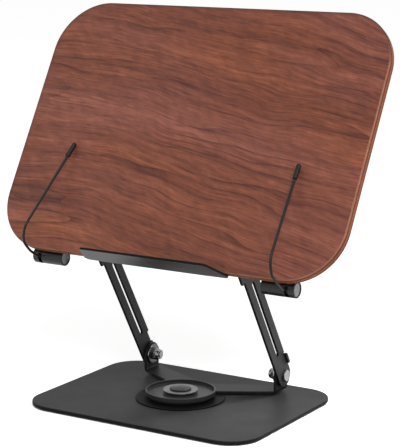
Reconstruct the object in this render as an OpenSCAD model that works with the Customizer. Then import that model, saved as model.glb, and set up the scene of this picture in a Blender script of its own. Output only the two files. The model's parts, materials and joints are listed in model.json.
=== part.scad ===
// Rotating book stand. A wooden reading panel with a ledge and two sprung page clips is carried by
// two flat arms, which fold on a steel bracket that turns on a flat base plate.
// Millimetres, Z up, the reader on the -Y side, the origin under the swivel where the pads meet the table.

/* [Base] */
// Width of the base plate, side to side
base_w = 226; // [200:1:260]
// Depth of the base plate, front to back
base_d = 170; // [150:1:200]
// Thickness of the base plate
base_t = 3; // [2:0.5:5]
// Corner radius of the base plate
base_r = 29; // [15:1:45]
// Radius of a rubber pad
pad_r = 14; // [8:1:20]
// Thickness of a rubber pad
pad_t = 1.2; // [1:0.1:3]
// Distance from the plate's edges to the middle of a pad
pad_inset = 29; // [22:1:40]

/* [Swivel] */
// Radius of the stud that the bracket turns on
stud_r = 5; // [4:0.5:6]
// Radius of the bearing disc
disc_r = 39.5; // [32:0.5:44]
// Thickness of the bearing disc
disc_t = 1.3; // [0.8:0.1:3]
// Radius of the bracket's middle
bracket_r = 28; // [22:1:31]
// Outer radius of the cup
cup_r = 31; // [26:0.5:34]
// Height of the cup's rim
cup_h = 4.1; // [3.5:0.1:6]
// Wall of the cup
cup_wall = 1.5; // [1:0.1:2]
// Radius of the cup's raised middle
boss_r = 13.5; // [11:0.5:16]
// Radius of the thrust ring
ring_r = 15.5; // [12:0.5:18]
// Thickness of the thrust ring
ring_t = 1.1; // [0.8:0.1:2]
// Radius of the cap
cap_r = 9.5; // [8:0.5:11]
// Height of the cap
cap_h = 2.3; // [2:0.1:4]
// Point of the front notch of the V, behind the swivel axis
vee_front = 8.5; // [4:0.5:14]
// Point of the back of the V, behind the swivel axis
vee_back = 37; // [32:0.5:44]

/* [Arms] */
// Distance between the inner faces of the arms
arm_span = 140.4; // [124:0.2:160]
// Distance from the lower pivot to the upper pivot
arm_len = 136; // [125:1:150]
// Width of an arm
arm_w = 20; // [18:0.5:22]
// Lean of the arms from upright, towards the reader
lean = 31.1; // [28:0.1:34]
// Width of the slot in an arm
slot_w = 5; // [3:0.5:7]
// Distance from a pivot to the near end of the slot
slot_from = 24; // [20:1:40]
// Lower pivot behind the swivel axis
pivot_y = 57.5; // [52:0.5:62]
// Height of the lower pivot above the table
pivot_h = 21.4; // [20:0.2:28]

/* [Sheet steel] */
// Thickness of the brackets and the arms
steel_t = 2.5; // [2:0.1:3]
// Inner radius of a bend
bend_r = 1.5; // [1:0.1:2.5]
// Radius of an ear's round end
ear_r = 10.5; // [10:0.5:12]
// Length of the tab bent out of an arm's back edge
tab_len = 10.3; // [6:0.1:12]
// How far that tab stands past the arm's outer face
tab_past = 3; // [2.7:0.1:5]
// How far the lug below the upper pivot stands out in front of an arm
lug_out = 4; // [1:0.1:5]

/* [Hinge bolts] */
// Radius of a hinge bolt
bolt_r = 3; // [2.5:0.1:3.5]
// Width across the flats of a bolt head or nut
hex_w = 10; // [9:0.5:12]
// Height of a bolt head
head_h = 2.4; // [2:0.1:5]
// Height of a lock nut
nut_h = 7; // [5:0.1:8]
// Radius of the steel washer inside an ear
washer_r = 9; // [7:0.1:10]
// Thickness of that washer
washer_t = 1.5; // [1:0.1:2]
// Thickness of the friction washer between ear and arm
friction_t = 0.6; // [0.4:0.1:1]

/* [Panel] */
// Width of the reading panel
panel_w = 340; // [310:1:380]
// Height of the reading panel
panel_h = 240; // [200:1:300]
// Thickness of the reading panel
panel_t = 9; // [8:0.5:12]
// Corner radius of the reading panel
panel_r = 49; // [20:1:60]
// Rounding of the panel's front and back edges
panel_soft = 1.4; // [0.6:0.1:2.5]
// Lean of the panel from upright, away from the reader
tilt = 30.1; // [26:0.1:34]
// Upper pivot above the panel's lower edge
hinge_up = 19.6; // [17:0.2:24]
// Upper pivot behind the panel's back
hinge_back = 15.9; // [15:0.1:20]
// Top edge of the bracket on the panel's back, above the panel's lower edge
plate_top_v = 62; // [50:1:80]

/* [Ledge] */
// Width of the ledge at its front
ledge_w = 128; // [100:1:130]
// Width of the ledge where it meets the panel
ledge_w_back = 144; // [136:1:160]
// How far the ledge stands in front of the panel
ledge_d = 20.5; // [12:0.5:30]
// Thickness of the ledge
ledge_t = 2; // [1.5:0.1:3]
// Corner radius of the ledge
ledge_r = 4.5; // [3:0.5:8]
// Width of the flange behind the panel
flange_w = 108; // [90:1:116]

/* [Page clips] */
// Middle of a clip barrel, in from the panel's end
clip_in = 54; // [52:1:66]
// Length of a clip barrel
barrel_l = 31; // [28:0.5:36]
// Radius of a clip barrel
barrel_r = 7; // [6.6:0.1:7.6]
// Barrel axis below the panel's lower edge
barrel_drop = 1.3; // [0.8:0.1:2]
// Space between the barrel and the panel's back
barrel_gap = 1.2; // [0.8:0.1:2]
// Diameter of the clip wire
wire_d = 2.3; // [1.8:0.1:2.6]
// Height of the clip's tip above the panel's lower edge
clip_reach = 100; // [80:1:130]
// How far the clip wire bows out in front of the panel
clip_bow = 23.2; // [18:0.2:30]
// How far the tip stands nearer the middle than the wire's foot
clip_toe = 10.7; // [4:0.1:16]
// Diameter of the rubber sleeve on the tip
sleeve_d = 4; // [3.6:0.1:5]
// Length of the rubber sleeve
sleeve_l = 15; // [10:0.5:20]
// How far a clip swings open, in degrees
clip_open = 70; // [40:1:80]

/* [Clearances] */
// Radial gap of a shaft in its hole
run_gap = 0.05; // [0.03:0.01:0.08]
// Gap between faces that turn on each other
face_gap = 0.1; // [0.05:0.01:0.15]
// Gap between a clip's sleeve and the panel
tip_gap = 0.3; // [0.2:0.05:0.6]

/* [Hidden] */
$fn = 72;

// Heights of the swivel stack, from the table up
base_top = pad_t + base_t;
disc_top = base_top + disc_t;
plate_z = disc_top + face_gap;
plate_top = plate_z + steel_t;
cup_floor = 1.2;
cup_top = plate_top + cup_h;
boss_top = cup_top - ring_t;
ring_z = boss_top + face_gap;
cap_z = ring_z + ring_t;
cap_top = cap_z + cap_h;
stud_foot = pad_t - 0.3;

// Positions across the hinges, measured from the middle plane
arm_x = arm_span / 2;
arm_out = arm_x + steel_t;
ear_out = arm_x - friction_t - face_gap;
ear_x = ear_out - steel_t;
bend_x = ear_x - bend_r;
washer_x = ear_x - face_gap - washer_t;
nut_x = washer_x - nut_h;
ear_hole = bolt_r + run_gap;
loose_hole = bolt_r + 2 * run_gap;

// Upper pivot, and the places of the tab and the lug along an arm
up_y = pivot_y - arm_len * sin(lean);
up_z = pivot_h + arm_len * cos(lean);
tab_from = 8.4;
tab_to = tab_from + tab_len;
lug_from = arm_len - 16;
lug_to = arm_len - 6;

// Panel frame: x across, y back from the front face, z up from the lower edge
hinge_w = panel_t + hinge_back;
plate_w = panel_t + steel_t;
root_v = 14;
root_len = 22;

// Wood screws and their places on the panel's back
screw_r = 1.5;
screw_len = 7;
screw_hole = screw_r + 0.3;
screw_head_r = 2.9;
screw_head_h = 1.9;
cross_w = 0.7;
cross_l = 3.2;
cross_deep = 0.9;
pilot_r = screw_r + run_gap;
pilot_deep = 6.5;
plate_r = 8;
plate_screw_in = 19.5;
plate_screw_low = 12;
plate_screw_top = 10;
plate_screws = [for (s = [-1, 0, 1], v = [root_v + plate_screw_low, plate_top_v - plate_screw_top])
    [s * (bend_x - plate_screw_in), v]];
flange_h = 12;
flange_screw_in = 9;
flange_screw_v = 6.5;
flange_screws = [for (s = [-1, -0.35, 0.35, 1]) [s * (flange_w / 2 - flange_screw_in), flange_screw_v]];

// Clip barrel frame: x along the barrel, y back, z up along the panel
clip_x = panel_w / 2 - clip_in;
axis_w = panel_t + barrel_gap + barrel_r;
axis_v = -barrel_drop;
bore_r = barrel_r - 0.95;
end_t = 1.5;
pin_r = 2;
hub_r = 4.5;
hub_l = 8.8;
wire_in = 7.4;
wire_at = barrel_l / 2 - wire_in;
foot_angle = 20;
saddle_w = 24;
saddle_t = 2;
saddle_h = 22;
saddle_low = 2.3;
saddle_r = 4;
saddle_screw_x = 6.5;
saddle_screw_v = 14;
housing_screws = [for (s = [-1, 1]) [s * saddle_screw_x, saddle_low + saddle_screw_v]];

steel_c = [0.20, 0.20, 0.21];
black_c = [0.09, 0.09, 0.10];
bright_c = [0.78, 0.78, 0.80];
wood_c = [0.42, 0.26, 0.17];
rubber_c = [0.07, 0.07, 0.07];

// Middles of the corner circles of a rectangle
function corners(w, d, r) = [
    [-w / 2 + r, -d / 2 + r], [w / 2 - r, -d / 2 + r], [w / 2 - r, d / 2 - r], [-w / 2 + r, d / 2 - r]
];

// Outward direction of edge i of a convex outline that runs anticlockwise
function edge_out(c, i) =
    let (e = c[(i + 1) % len(c)] - c[i])
    [e[1], -e[0]] / norm(e);

// Convex outline with round corners of radius r about the points c
module round_poly(c, r) {
    n = len(c);
    polygon([for (i = [0:n - 1], o = [edge_out(c, (i + n - 1) % n), edge_out(c, i)]) c[i] + r * o]);
    for (p = c) translate(p) circle(r);
}

// Outline in the YZ plane, thickened along X from x0
module yz_plate(x0, t) {
    translate([x0, 0, 0]) rotate([90, 0, 90]) linear_extrude(t) children();
}

// Outline in the XZ plane, thickened along Y from y0
module xz_plate(y0, t) {
    translate([0, y0 + t, 0]) rotate([90, 0, 0]) linear_extrude(t) children();
}

// Round bar along X from x0
module x_bar(r, x0, l) {
    translate([x0, 0, 0]) rotate([0, 90, 0]) cylinder(r = r, h = l);
}

// Washer or sleeve along X from x0
module x_ring(r, hole, x0, l) {
    difference() {
        x_bar(r, x0, l);
        x_bar(hole, x0 - 1, l + 2);
    }
}

module mirrored() {
    mirror([1, 0, 0]) children();
}

module both_sides() {
    children();
    mirrored() children();
}

module at_lower_pivot() {
    translate([0, pivot_y, pivot_h]) children();
}

module at_upper_pivot() {
    translate([0, up_y, up_z]) children();
}

module at_panel() {
    at_upper_pivot() rotate([-tilt, 0, 0]) translate([0, -hinge_w, -hinge_up]) children();
}

module at_clip() {
    at_panel() translate([clip_x, axis_w, axis_v]) children();
}

// Quarter section of a sheet bend about the origin, from straight down to the right
module bend_section() {
    reach = bend_r + steel_t;
    intersection() {
        difference() {
            circle(reach);
            circle(bend_r);
        }
        translate([0, -reach]) square(reach);
    }
}

// Pan head screw along -Y, its head's seat at y = 0
module wood_screw() {
    rotate([90, 0, 0]) {
        difference() {
            union() {
                cylinder(r = screw_r, h = screw_len);
                translate([0, 0, -0.65 * screw_head_h]) cylinder(r = screw_head_r, h = 0.65 * screw_head_h);
                translate([0, 0, -screw_head_h])
                    cylinder(r1 = 0.72 * screw_head_r, r2 = screw_head_r, h = 0.35 * screw_head_h);
            }
            for (a = [0, 90]) rotate(a)
                translate([-cross_l / 2, -cross_w / 2, -screw_head_h - 0.1])
                cube([cross_l, cross_w, cross_deep + 0.1]);
        }
    }
}

module base_plate() {
    color(steel_c) difference() {
        translate([0, 0, pad_t]) linear_extrude(base_t) round_poly(corners(base_w, base_d, base_r), base_r);
        cylinder(r = stud_r + run_gap, h = base_top + 1);
    }
}

module base_pads() {
    color(rubber_c)
        for (p = corners(base_w, base_d, pad_inset)) translate(p) cylinder(r = pad_r, h = pad_t);
}

module swivel_stud() {
    color(bright_c) {
        translate([0, 0, pad_t - stud_foot]) cylinder(r = 2.4 * stud_r, h = stud_foot);
        translate([0, 0, pad_t - stud_foot / 2]) cylinder(r = stud_r, h = cap_z + 1 - pad_t + stud_foot / 2);
    }
}

module bearing_disc() {
    color(black_c) translate([0, 0, base_top]) difference() {
        cylinder(r = disc_r, h = disc_t);
        translate([0, 0, -1]) cylinder(r = stud_r + run_gap, h = disc_t + 2);
    }
}

module thrust_ring() {
    color(bright_c) translate([0, 0, ring_z]) difference() {
        cylinder(r = ring_r, h = ring_t);
        translate([0, 0, -1]) cylinder(r = stud_r + run_gap, h = ring_t + 2);
    }
}

// Low domed cap that closes the stud's end
module swivel_cap() {
    rise = cap_h / 2;
    dome_r = (cap_r * cap_r + rise * rise) / (2 * rise);
    color(steel_c) translate([0, 0, cap_z]) difference() {
        intersection() {
            cylinder(r = cap_r, h = cap_h + 1);
            translate([0, 0, cap_h - dome_r]) sphere(dome_r, $fn = 128);
        }
        translate([0, 0, -1]) cylinder(r = stud_r + run_gap, h = 2.1);
    }
}

module bracket_ear() {
    yz_plate(ear_x, steel_t) {
        translate([pivot_y - ear_r, plate_top + bend_r - 0.01])
            square([2 * ear_r, pivot_h - plate_top - bend_r + 0.01]);
        translate([pivot_y, pivot_h]) circle(ear_r);
    }
    translate([bend_x, pivot_y + ear_r, plate_top + bend_r])
        rotate([90, 0, 0]) linear_extrude(2 * ear_r) bend_section();
}

module swivel_bracket() {
    color(steel_c) difference() {
        union() {
            translate([0, 0, plate_z]) linear_extrude(steel_t) {
                circle(bracket_r);
                both_sides() polygon([[0, vee_front], [bend_x, pivot_y - ear_r],
                    [bend_x, pivot_y + ear_r], [0, vee_back]]);
            }
            both_sides() bracket_ear();
        }
        translate([0, 0, plate_z - 1]) cylinder(r = stud_r + run_gap, h = steel_t + 2);
        at_lower_pivot() x_bar(ear_hole, -arm_x, arm_span);
    }
}

module swivel_cup() {
    hole = stud_r + run_gap;
    color(steel_c) translate([0, 0, plate_top]) rotate_extrude() {
        translate([hole, 0]) square([cup_r - hole - cup_wall / 2, cup_floor]);
        translate([cup_r - cup_wall, 0]) square([cup_wall, cup_h - cup_wall / 2]);
        translate([cup_r - cup_wall / 2, cup_h - cup_wall / 2]) circle(cup_wall / 2);
        translate([hole, 0]) square([boss_r - hole, cup_h - ring_t]);
    }
}

// Arm in its own frame: the lower pivot at the origin, the upper pivot at arm_len. The back edge is cut in
// to the line where the tab's bend starts, and the lug stands out of the front edge.
module arm_outline() {
    h = arm_w / 2;
    cut = h - bend_r - steel_t;
    difference() {
        union() {
            circle(h);
            translate([0, arm_len]) circle(h);
            polygon([[-h, 0], [h, 0], [h, tab_from - 2], [cut + 0.01, tab_from], [cut + 0.01, tab_to],
                [h, tab_to + 1], [h, arm_len], [-h, arm_len], [-h, lug_to + 1], [-h - lug_out, lug_to],
                [-h - lug_out, lug_from], [-h, lug_from]]);
        }
        circle(loose_hole);
        translate([0, arm_len]) circle(ear_hole);
        translate([-slot_w / 2, slot_from + slot_w / 2]) square([slot_w, arm_len - 2 * slot_from - slot_w]);
        for (a = [slot_from + slot_w / 2, arm_len - slot_from - slot_w / 2])
            translate([0, a]) circle(slot_w / 2);
    }
}

// Tab that is bent outwards out of the arm's back edge
module arm_tab() {
    translate([arm_out + bend_r, arm_w / 2 - bend_r - steel_t, tab_from]) linear_extrude(tab_len) {
        rotate(180) bend_section();
        translate([0, bend_r]) square([tab_past - bend_r, steel_t]);
    }
}

module arm() {
    at_lower_pivot() rotate([lean, 0, 0]) {
        yz_plate(arm_x, steel_t) arm_outline();
        arm_tab();
    }
}

module arm_left() {
    color(black_c) mirrored() arm();
}

module arm_right() {
    color(black_c) arm();
}

// Hex head with a chamfered face, standing along X from x0
module hex_head(x0, h) {
    corner_r = hex_w / 2 / cos(30);
    soft = 0.6;
    translate([x0, 0, 0]) rotate([0, 90, 0]) intersection() {
        cylinder(r = corner_r, h = h, $fn = 6);
        union() {
            cylinder(r = corner_r + 0.2, h = h - soft);
            translate([0, 0, h - soft - 0.01])
                cylinder(r1 = corner_r + 0.2, r2 = hex_w / 2 - 0.3, h = soft + 0.01);
        }
    }
}

module hinge_bolt() {
    hex_head(arm_out, head_h);
    x_bar(bolt_r, nut_x - 1, arm_out - nut_x + 1.5);
}

module hinge_washer() {
    x_ring(washer_r, loose_hole, washer_x, washer_t);
}

// Lock nut: a hex with a round collar on its inner side
module hinge_nut() {
    collar = 2.2;
    difference() {
        union() {
            translate([washer_x, 0, 0]) mirrored() hex_head(0, nut_h - collar);
            x_bar(hex_w / 2 - 0.5, nut_x, collar + 0.5);
        }
        x_bar(bolt_r + run_gap, nut_x - 1, nut_h + 2);
    }
}

module friction_washer() {
    x_ring(ear_r - 3, loose_hole, arm_x - friction_t, friction_t);
}

module lower_bolts() {
    color(bright_c) at_lower_pivot() both_sides() hinge_bolt();
}

module lower_washers() {
    color(bright_c) at_lower_pivot() both_sides() hinge_washer();
}

module lower_nuts() {
    color(bright_c) at_lower_pivot() both_sides() hinge_nut();
}

module lower_friction_washers() {
    color(rubber_c) at_lower_pivot() both_sides() friction_washer();
}

module upper_bolts() {
    color(bright_c) at_upper_pivot() both_sides() hinge_bolt();
}

module upper_washers() {
    color(bright_c) at_upper_pivot() both_sides() hinge_washer();
}

module upper_nuts() {
    color(bright_c) at_upper_pivot() both_sides() hinge_nut();
}

module upper_friction_washers() {
    color(rubber_c) at_upper_pivot() both_sides() friction_washer();
}

// Section through the panel's edge, from the middle of the corner rounding outwards
module panel_edge() {
    e = panel_soft;
    square([panel_r - e, panel_t]);
    translate([0, e]) square([panel_r, panel_t - 2 * e]);
    for (z = [e, panel_t - e]) translate([panel_r - e, z]) circle(e);
}

// Board with round corners and soft front and back edges, lying flat about the origin
module soft_board() {
    long = panel_w - 2 * panel_r;
    wide = panel_h - 2 * panel_r;
    translate([-long / 2, -wide / 2, 0]) cube([long, wide, panel_t]);
    for (a = [0, 180]) rotate(a) {
        yz_plate(-long / 2, long) translate([wide / 2, 0]) panel_edge();
        translate([0, wide / 2, 0]) rotate([90, 0, 0]) linear_extrude(wide)
            translate([long / 2, 0]) panel_edge();
        translate([long / 2, wide / 2, 0]) rotate_extrude(angle = 90) panel_edge();
        translate([-long / 2, wide / 2, 0]) rotate(90) rotate_extrude(angle = 90) panel_edge();
    }
}

module panel() {
    color(wood_c) at_panel() difference() {
        translate([0, panel_t, panel_h / 2]) rotate([90, 0, 0]) soft_board();
        xz_plate(panel_t - pilot_deep, pilot_deep + 1) {
            for (p = concat(plate_screws, flange_screws)) translate(p) circle(pilot_r);
            both_sides() for (p = housing_screws) translate([clip_x + p[0], axis_v + p[1]]) circle(pilot_r);
        }
    }
}

module panel_ear() {
    yz_plate(ear_x, steel_t) {
        polygon([[plate_w + bend_r - 0.01, root_v], [hinge_w - 0.4 * ear_r, hinge_up - 0.9 * ear_r],
            [hinge_w, hinge_up], [hinge_w + 0.46 * ear_r, hinge_up + 0.88 * ear_r],
            [plate_w + bend_r - 0.01, root_v + root_len]]);
        translate([hinge_w, hinge_up]) circle(ear_r);
    }
    translate([bend_x, plate_w + bend_r, root_v]) linear_extrude(root_len) bend_section();
}

module panel_bracket() {
    color(steel_c) difference() {
        union() {
            at_panel() {
                xz_plate(panel_t, steel_t) translate([0, (root_v + plate_top_v) / 2]) difference() {
                    union() {
                        round_poly(corners(2 * bend_x, plate_top_v - root_v, plate_r), plate_r);
                        translate([-bend_x, -(plate_top_v - root_v) / 2]) square([2 * bend_x, root_len]);
                    }
                    for (p = plate_screws)
                        translate([p[0], p[1] - (root_v + plate_top_v) / 2]) circle(screw_hole);
                }
                both_sides() panel_ear();
            }
        }
        at_upper_pivot() x_bar(ear_hole, -arm_x, arm_span);
    }
}

module panel_bracket_screws() {
    color(bright_c) at_panel()
        for (p = plate_screws) translate([p[0], plate_w, p[1]]) wood_screw();
}

// Ledge under the panel's lower edge, with a flange bent up behind the panel
module ledge() {
    r = ledge_r;
    front = ledge_w / 2 - r;
    back = ledge_w_back / 2 - r;
    color(steel_c) at_panel() difference() {
        union() {
            translate([0, 0, -ledge_t]) linear_extrude(ledge_t)
                round_poly([[-front, r - ledge_d], [front, r - ledge_d],
                    [back, panel_t - r], [-back, panel_t - r]], r);
            translate([0, panel_t, 0]) yz_plate(-flange_w / 2, flange_w) intersection() {
                circle(ledge_t);
                translate([0, -ledge_t]) square(ledge_t);
            }
            xz_plate(panel_t, ledge_t) translate([-flange_w / 2, 0]) square([flange_w, flange_h]);
        }
        xz_plate(panel_t - 1, ledge_t + 2) for (p = flange_screws) translate(p) circle(screw_hole);
    }
}

module ledge_screws() {
    color(bright_c) at_panel()
        for (p = flange_screws) translate([p[0], panel_t + ledge_t, p[1]]) wood_screw();
}

// Barrel with a saddle that is screwed to the panel's back, and a slot that the wire swings in
module clip_housing() {
    seat = -(barrel_r + barrel_gap);
    half = asin((wire_d / 2 + 0.6) / bore_r);
    at_clip() difference() {
        union() {
            x_bar(barrel_r, -barrel_l / 2, barrel_l);
            translate([-saddle_w / 2, seat, saddle_low])
                cube([saddle_w, barrel_gap + 0.75 * barrel_r, saddle_r]);
            xz_plate(seat, saddle_t) translate([0, saddle_low]) {
                translate([0, saddle_h / 2]) round_poly(corners(saddle_w, saddle_h, saddle_r), saddle_r);
                translate([-saddle_w / 2, 0]) square([saddle_w, 1.5 * saddle_r]);
            }
        }
        x_bar(bore_r, -barrel_l / 2 - 1, barrel_l + 2);
        translate([wire_at - wire_d / 2 - 0.5, 0, 0]) rotate([0, 90, 0])
            rotate([0, 0, foot_angle - half - 90])
            rotate_extrude(angle = clip_open + 2 * half)
            translate([bore_r - 1, 0]) square([4, wire_d + 1]);
        xz_plate(seat - 1, saddle_t + 2) for (p = housing_screws) translate(p) circle(screw_hole);
    }
}

module clip_housing_left() {
    color(black_c) mirrored() clip_housing();
}

module clip_housing_right() {
    color(black_c) clip_housing();
}

module clip_housing_screws() {
    color(bright_c) both_sides() at_clip()
        for (p = housing_screws) translate([p[0], saddle_t - barrel_r - barrel_gap, p[1]]) wood_screw();
}

// Pin along the barrel, with a disc at each end that closes the barrel
module clip_pin() {
    at_clip() {
        x_bar(pin_r, -barrel_l / 2 + 0.5, barrel_l - 1);
        for (x = [-barrel_l / 2, barrel_l / 2 - end_t]) x_bar(bore_r - run_gap, x, end_t);
    }
}

module clip_pin_left() {
    color(bright_c) mirrored() clip_pin();
}

module clip_pin_right() {
    color(bright_c) clip_pin();
}

// Hub that turns on the pin and holds the foot of the wire in a socket
module clip_hub() {
    at_clip() difference() {
        x_ring(hub_r, pin_r + run_gap, wire_at - hub_l / 2, hub_l);
        translate([wire_at, 0, 0]) rotate([90 + foot_angle, 0, 0])
            translate([0, 0, pin_r + 0.7]) cylinder(r = wire_d / 2 + run_gap, h = hub_r);
    }
}

module clip_hub_left() {
    color(steel_c) mirrored() clip_hub();
}

module clip_hub_right() {
    color(steel_c) clip_hub();
}

// Tube along a path that never runs along X: rings of n corners, closed at both ends
function path_dir(p, i) =
    let (d = p[min(i + 1, len(p) - 1)] - p[max(i - 1, 0)])
    d / norm(d);
function ring(p, i, r, n) =
    let (t = path_dir(p, i), a = cross(t, [1, 0, 0]), b = a / norm(a), c = cross(t, b))
    [for (k = [0:n - 1]) p[i] + r * (cos(360 * k / n) * b + sin(360 * k / n) * c)];

module tube(p, r, n) {
    m = len(p);
    points = [for (i = [0:m - 1]) each ring(p, i, r, n)];
    sides = [for (i = [0:m - 2], k = [0:n - 1])
        [i * n + k, (i + 1) * n + k, (i + 1) * n + (k + 1) % n, i * n + (k + 1) % n]];
    foot = [for (k = [0:n - 1]) k];
    tip = [for (k = [n - 1:-1:0]) (m - 1) * n + k];
    polyhedron(points, concat(sides, [foot, tip]), convexity = 6);
}

// Smooth curve through bend points, with steps points to each stretch
function bend_point(q, i) = q[max(0, min(len(q) - 1, i))];
function between(q, i, s) =
    let (a = bend_point(q, i - 1), b = bend_point(q, i), c = bend_point(q, i + 1), d = bend_point(q, i + 2))
    0.5 * (2 * b + (c - a) * s + (2 * a - 5 * b + 4 * c - d) * s * s + (3 * b - a - 3 * c + d) * s * s * s);
function smooth(q, steps) = concat(
    [for (i = [0:len(q) - 2], j = [0:steps - 1]) between(q, i, j / steps)], [q[len(q) - 1]]);

// Foot of the wire at distance r from the barrel's axis
function foot_at(r) = [clip_x + wire_at, axis_w - r * cos(foot_angle), axis_v - r * sin(foot_angle)];

// The wire runs out of the barrel, under the panel's lower edge, then forward and up in a bow. Each bend of
// the bow gives its place between the panel and the full bow, its height as a share of the reach, and its
// share of the toe.
wire_x = clip_x + wire_at;
tip_w = -sleeve_d / 2 - tip_gap;
bow_out = [[0.62, -0.017, 0.03], [0.80, 0.012, 0.05], [0.92, 0.049, 0.09], [1.00, 0.101, 0.14],
    [1.00, 0.147, 0.18]];
bow = [for (b = bow_out)
    [wire_x - b[2] * clip_toe, tip_w * (1 - b[0]) - b[0] * clip_bow, b[1] * clip_reach]];

// From the end of the bow the wire is straight to the tip; l is the distance from the sleeve's round end
bow_end = bow[len(bow) - 1];
tip = [wire_x - clip_toe, tip_w, clip_reach - sleeve_d / 2];
sleeve_dir = (tip - bow_end) / norm(tip - bow_end);
function sleeve_point(l) = tip + (sleeve_d / 2 - l) * sleeve_dir;
wire_bends = concat(
    [foot_at(pin_r + 0.9), foot_at(hub_r), foot_at(barrel_r + 1), foot_at(barrel_r + 4.5)],
    [[wire_x, 1, -4.9], [wire_x, -5, -4.4]],
    bow,
    [for (s = [0.12, 0.28, 0.55]) bow_end + s * (sleeve_point(sleeve_l) - bow_end)],
    [sleeve_point(sleeve_l)]
);

module clip_wire() {
    at_panel() tube(concat(smooth(wire_bends, 4), [sleeve_point(1)]), wire_d / 2, 8);
}

module clip_wire_left() {
    color(black_c) mirrored() clip_wire();
}

module clip_wire_right() {
    color(black_c) clip_wire();
}

// Rubber sleeve with a round closed end
module clip_sleeve() {
    lie = [0, acos(sleeve_dir[2]), atan2(sleeve_dir[1], sleeve_dir[0])];
    at_panel() translate(sleeve_point(sleeve_l)) rotate(lie) difference() {
        union() {
            cylinder(r = sleeve_d / 2, h = sleeve_l - sleeve_d / 2);
            translate([0, 0, sleeve_l - sleeve_d / 2]) sphere(sleeve_d / 2);
        }
        translate([0, 0, -1]) cylinder(r = wire_d / 2 + run_gap, h = sleeve_l + 0.1);
    }
}

module clip_sleeve_left() {
    color(rubber_c) mirrored() clip_sleeve();
}

module clip_sleeve_right() {
    color(rubber_c) clip_sleeve();
}

// Torsion spring around the pin: its first end reaches out to the barrel, its last lies at the hub
spring_wire = 1;
spring_r = 3.9;
spring_pitch = 1.5;
spring_x = -barrel_l / 2 + end_t + 0.9;
spring_end = wire_at - hub_l / 2 - 0.7;
spring_turns = floor((spring_end - spring_x) / spring_pitch);
spring_steps = 10;
spring_start = spring_end - spring_turns * spring_pitch;
spring_path = concat(
    [for (s = [1, 0.5]) [spring_start, -s * sqrt(pow(bore_r - 0.25, 2) - pow(spring_r + 0.5, 2)), -spring_r]],
    [for (i = [0:spring_turns * spring_steps]) let (a = 360 * i / spring_steps)
        [spring_start + spring_pitch * i / spring_steps, spring_r * sin(a), -spring_r * cos(a)]]
);
spring_gap = min([for (i = [0:len(spring_path) - 1 - spring_steps], j = [spring_steps - 2:spring_steps])
    norm(spring_path[i] - spring_path[i + j])]) - spring_wire;
echo(spring_gap = spring_gap);

module clip_spring() {
    at_clip() tube(spring_path, spring_wire / 2, 6);
}

module clip_spring_left() {
    color(bright_c) mirrored() clip_spring();
}

module clip_spring_right() {
    color(bright_c) clip_spring();
}

base_plate();
base_pads();
swivel_stud();
bearing_disc();
thrust_ring();
swivel_cap();
swivel_bracket();
swivel_cup();
arm_left();
arm_right();
lower_bolts();
lower_washers();
lower_nuts();
lower_friction_washers();
upper_bolts();
upper_washers();
upper_nuts();
upper_friction_washers();
panel();
panel_bracket();
panel_bracket_screws();
ledge();
ledge_screws();
clip_housing_left();
clip_housing_right();
clip_housing_screws();
clip_pin_left();
clip_pin_right();
clip_hub_left();
clip_hub_right();
clip_spring_left();
clip_spring_right();
clip_wire_left();
clip_wire_right();
clip_sleeve_left();
clip_sleeve_right();
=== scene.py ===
import json
import math

import bmesh
import bpy
from mathutils import Matrix, Vector


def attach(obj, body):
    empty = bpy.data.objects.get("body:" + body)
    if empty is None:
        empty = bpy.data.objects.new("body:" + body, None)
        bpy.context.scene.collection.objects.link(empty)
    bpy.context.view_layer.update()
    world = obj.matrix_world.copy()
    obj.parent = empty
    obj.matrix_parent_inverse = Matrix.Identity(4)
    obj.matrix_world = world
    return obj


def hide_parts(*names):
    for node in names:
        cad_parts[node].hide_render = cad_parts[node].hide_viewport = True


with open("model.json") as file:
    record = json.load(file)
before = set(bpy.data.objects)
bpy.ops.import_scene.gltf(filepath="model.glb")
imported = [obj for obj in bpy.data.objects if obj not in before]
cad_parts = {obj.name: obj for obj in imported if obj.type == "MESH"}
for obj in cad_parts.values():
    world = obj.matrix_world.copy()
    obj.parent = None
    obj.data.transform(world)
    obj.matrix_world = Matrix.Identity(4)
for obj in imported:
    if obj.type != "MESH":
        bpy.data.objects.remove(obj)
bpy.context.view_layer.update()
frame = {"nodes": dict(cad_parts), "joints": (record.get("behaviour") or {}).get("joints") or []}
scene = bpy.context.scene
joints = {joint["name"]: joint for joint in frame["joints"]}
mm = 0.001
print("book stand: frame loaded,", len(frame["nodes"]), "nodes")

# leaning frames of the arms and the panel: x across, y to the back, z up along the piece
lean = {"arm": 31.1, "panel": -30.1, "hingeBehind": 24.9, "hingeUp": 19.6}
armPlace = Matrix.Translation(joints["arm_fold"]["pos_m"]) @ Matrix.Rotation(math.radians(lean["arm"]), 4, "X")
panelPlace = (Matrix.Translation(joints["panel_tilt"]["pos_m"])
              @ Matrix.Rotation(math.radians(lean["panel"]), 4, "X")
              @ Matrix.Translation((0, -lean["hingeBehind"] * mm, -lean["hingeUp"] * mm)))

# outlines that a finish follows as well as a shape, in mm
baseOutline = {"size": (226, 170, 3), "corner": 29}
panelOutline = {"size": (340, 240, 9), "corner": 49}

# camera at the photo's angle
view = {"place": (0.765087, -1.204656, 0.439092), "down": 11.079, "turn": 31.735, "lens": 135.70, "sensor": 36}
cameraData = bpy.data.cameras.new("camera")
cameraData.lens = view["lens"]
cameraData.sensor_width = view["sensor"]
camera = bpy.data.objects.new("camera", cameraData)
camera.location = view["place"]
camera.rotation_euler = (math.radians(90 - view["down"]), 0, math.radians(view["turn"]))
scene.collection.objects.link(camera)
scene.camera = camera
scene.view_settings.view_transform = "Standard"


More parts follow.
